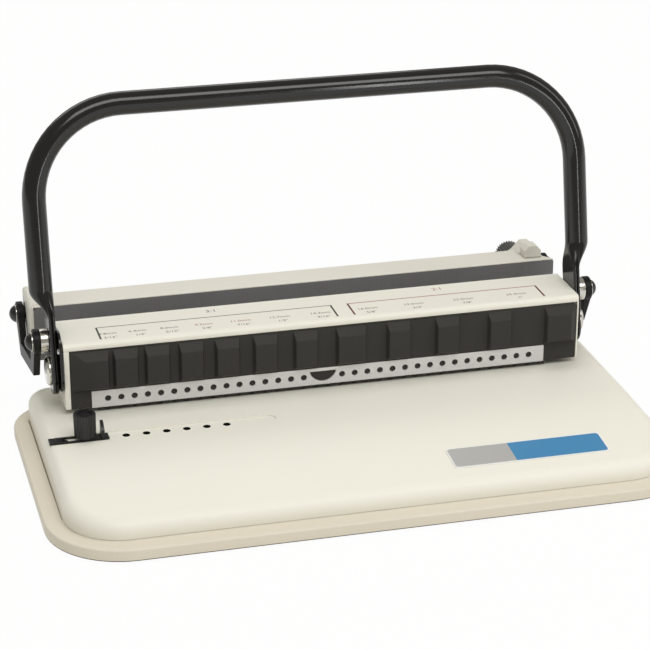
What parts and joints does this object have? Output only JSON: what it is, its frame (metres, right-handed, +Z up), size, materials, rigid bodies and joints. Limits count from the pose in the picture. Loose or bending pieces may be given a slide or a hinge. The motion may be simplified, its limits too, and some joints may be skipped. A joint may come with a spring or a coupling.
{
  "type": "wire binding machine",
  "caption": "Manual wire binding machine: curved paper table, hole-punching head with a wire gauge, U-shaped pull handle, and a rear wire closer drawn forward by side links.",
  "frame": {"origin": "On the surface under the feet, below the middle of the overall box", "axes": "+X to the operator's right, +Y to the back, +Z up; the operator stands in front at -Y"},
  "size_m": [0.4, 0.269, 0.2199],
  "materials": {
    "cream_paint": "satin cream stove enamel",
    "rim_paint": "satin cream enamel, slightly darker than the table",
    "rubber": "matt black rubber",
    "screw_steel": "bright zinc plate",
    "tool_steel": "ground steel",
    "label": "printed two-tone plate, silver and blue with a thin white border",
    "bronze": "plain sintered bronze",
    "gauge_plastic": "fine-grained charcoal moulding",
    "strip_aluminium": "satin aluminium",
    "dark_plastic": "black moulding",
    "gloss_black": "gloss black enamel",
    "nickel": "nickel plate",
    "black_bolt": "black oxide, satin",
    "closer_grey": "dark grey enamel with fine upright ribs"
  },
  "bodies": {
    "base": {"base_tray": "rim_paint", "rubber_feet": "rubber", "base_screws": "screw_steel", "drawer_runners": "rim_paint", "table_cover": "cream_paint", "die_plate": "tool_steel", "die_screws": "screw_steel", "label_plate": "label", "side_plate_left": "cream_paint", "side_plate_right": "cream_paint", "side_plate_screws": "screw_steel", "shaft_bushes": "bronze", "head_cover": "cream_paint", "cover_screws": "screw_steel", "gauge_panel": "gauge_plastic", "hole_strip": "strip_aluminium", "punch_guide": "tool_steel", "guide_block_screws": "screw_steel", "back_plate": "cream_paint", "tie_rod": "screw_steel", "spring_pins": "screw_steel", "closer_rods": "screw_steel"},
    "drawer": {"chip_drawer": "dark_plastic"},
    "handle": {"handle_tube": "gloss_black", "hub_plate": "gloss_black", "hub_rivet": "screw_steel", "main_shaft": "tool_steel", "drive_cams": "tool_steel", "pivot_bolts": "nickel", "link_spacers": "nickel", "handle_bolts": "black_bolt", "handle_washers": "nickel"},
    "punch": {"punch_bar": "tool_steel", "punches": "tool_steel", "return_springs": "screw_steel"},
    "left_link": {"link_left": "gloss_black", "closer_bolt_left": "black_bolt", "closer_washer_left": "nickel"},
    "right_link": {"link_right": "gloss_black", "closer_bolt_right": "black_bolt", "closer_washer_right": "nickel"},
    "closer": {"closer_cover": "cream_paint", "closer_bar": "closer_grey", "closer_cheek_left": "cream_paint", "closer_cheek_right": "cream_paint", "closer_beam": "strip_aluminium", "rod_bushes": "bronze", "adjuster_tower": "cream_paint"},
    "wheel": {"adjusting_wheel": "dark_plastic", "adjusting_screw": "screw_steel"},
    "guide": {"edge_guide": "dark_plastic"},
    "knob": {"guide_knob": "dark_plastic"}
  },
  "joints": [
    {"name": "handle_swing", "type": "hinge", "parent": "base", "child": "handle", "pos_m": [0, 0.037, 0.0511], "axis": [1, 0, 0], "range_deg": [0, 80]},
    {"name": "left_link_turn", "type": "hinge", "parent": "handle", "child": "left_link", "pos_m": [-0.1842, 0.04083, 0.07012], "axis": [1, 0, 0], "range_deg": [-75, 0]},
    {"name": "right_link_turn", "type": "hinge", "parent": "handle", "child": "right_link", "pos_m": [0.1822, 0.04083, 0.07012], "axis": [1, 0, 0], "range_deg": [-75, 0]},
    {"name": "closer_slide", "type": "slide", "parent": "base", "child": "closer", "axis": [0, -1, 0], "range_m": [0, 0.0226]},
    {"name": "punch_slide", "type": "slide", "parent": "base", "child": "punch", "axis": [0, 0, -1], "range_m": [0, 0.0061], "deforming": ["return_springs"]},
    {"name": "wheel_turn", "type": "hinge", "parent": "closer", "child": "wheel", "pos_m": [0.1593, 0.128, 0.0634], "axis": [0, 1, 0], "continuous": true},
    {"name": "guide_slide", "type": "slide", "parent": "base", "child": "guide", "axis": [1, 0, 0], "range_m": [-0.0022, 0.012]},
    {"name": "knob_turn", "type": "hinge", "parent": "base", "child": "knob", "pos_m": [-0.1635, -0.0155, 0.0355], "axis": [0, 0, 1], "continuous": true},
    {"name": "drawer_slide", "type": "slide", "parent": "base", "child": "drawer", "axis": [1, 0, 0], "range_m": [0, 0.2]}
  ],
  "couplings": [
    {"joint": "left_link_turn", "follows": "handle_swing", "ratio": -0.92},
    {"joint": "right_link_turn", "follows": "handle_swing", "ratio": -0.92},
    {"joint": "closer_slide", "follows": "handle_swing", "m_per_rad": 0.0161},
    {"joint": "punch_slide", "follows": "handle_swing", "m_per_rad": 0.0042972}
  ]
}
